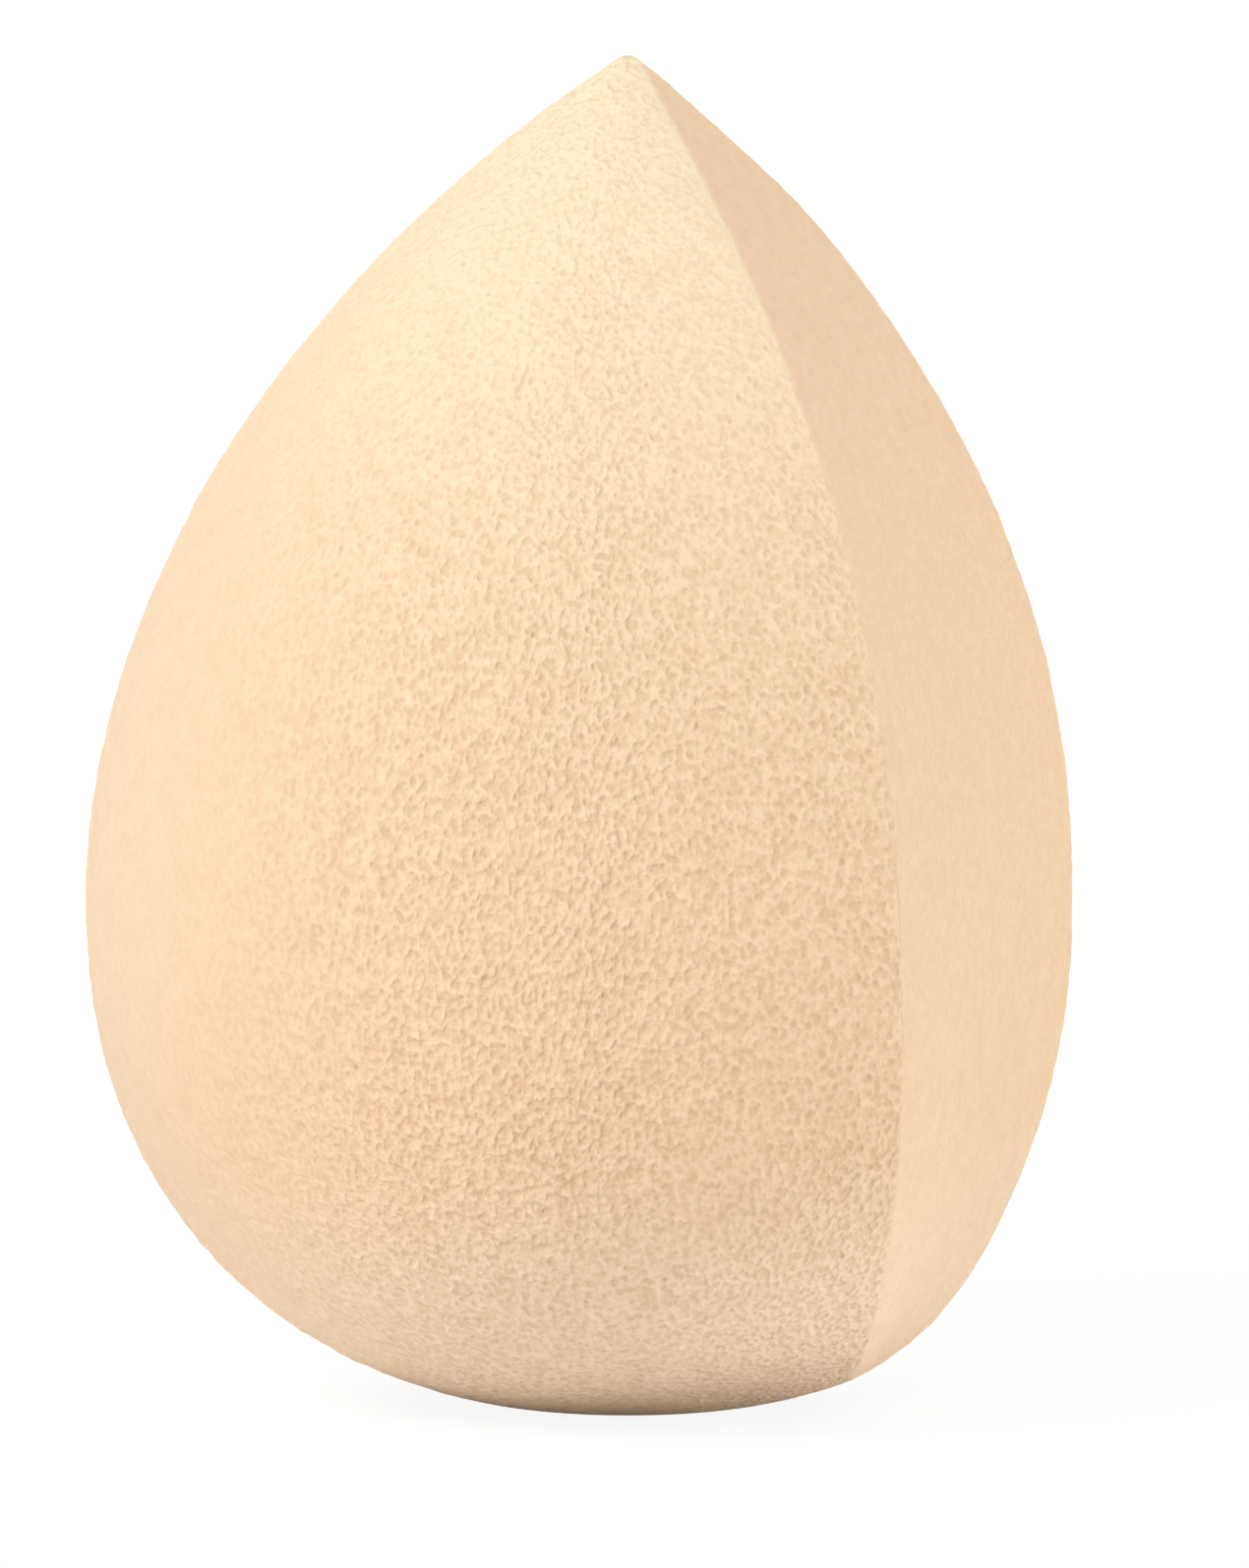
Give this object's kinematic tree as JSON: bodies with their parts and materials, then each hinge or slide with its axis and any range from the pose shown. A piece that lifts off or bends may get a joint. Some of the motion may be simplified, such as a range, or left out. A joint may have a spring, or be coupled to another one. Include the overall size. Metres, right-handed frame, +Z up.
{
  "type": "makeup sponge",
  "caption": "Teardrop foam makeup sponge with a soft pointed tip, a rounded base that stands by itself and a bowed sliced side, for dabbing and blending make-up on skin.",
  "frame": {"origin": "centre of the flat seat under the teardrop, on the teardrop's axis", "axes": "+Z up the teardrop's axis to the tip, +X out of the sliced facet, Y along the facet's level width"},
  "size_m": [0.037, 0.044, 0.055],
  "materials": {
    "foam": "matte"
  },
  "bodies": {
    "root": {"foam_body": "foam"}
  },
  "joints": []
}
